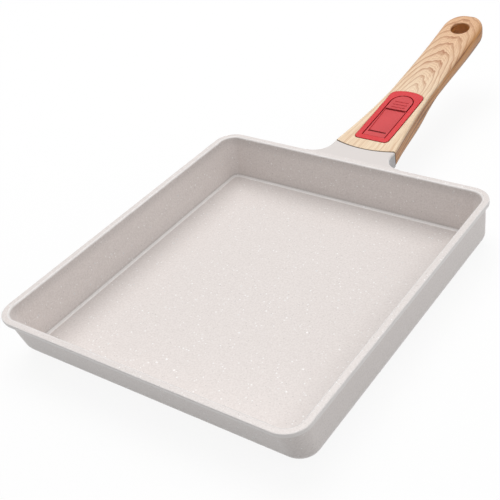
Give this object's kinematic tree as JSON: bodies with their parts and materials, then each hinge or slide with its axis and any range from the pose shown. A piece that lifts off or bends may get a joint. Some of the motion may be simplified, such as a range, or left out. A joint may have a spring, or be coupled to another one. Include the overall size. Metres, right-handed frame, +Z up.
{
  "type": "tamagoyaki pan",
  "caption": "Rectangular coated rolled-omelette pan with a laid-back front wall, steel base plate, and a bent wood-look handle with a red thumb rest and hang hole.",
  "frame": {"origin": "middle of the face that the pan stands on, under the middle of the rim's length and width", "axes": "+Y along the handle, from the laid-back front wall towards the handle's tip; +Z up; +X to the right seen from the front wall"},
  "size_m": [0.188, 0.382, 0.0523],
  "materials": {
    "pan_coating": "satin off-white non-stick coating with fine pale specks, on cast aluminium",
    "base_steel": "brushed stainless steel",
    "gasket_rubber": "matt black",
    "handle_wood_look": "satin moulding with a printed light wood grain",
    "frame_red": "satin red",
    "pad_red": "matt red silicone",
    "screw_steel": "zinc-plated steel"
  },
  "bodies": {
    "root": {"pan_body": "pan_coating", "base_plate": "base_steel", "neck_gasket": "gasket_rubber", "handle_grip": "handle_wood_look", "thumb_frame": "frame_red", "thumb_pad": "pad_red", "handle_screw": "screw_steel", "spring_washer": "screw_steel"}
  },
  "joints": []
}
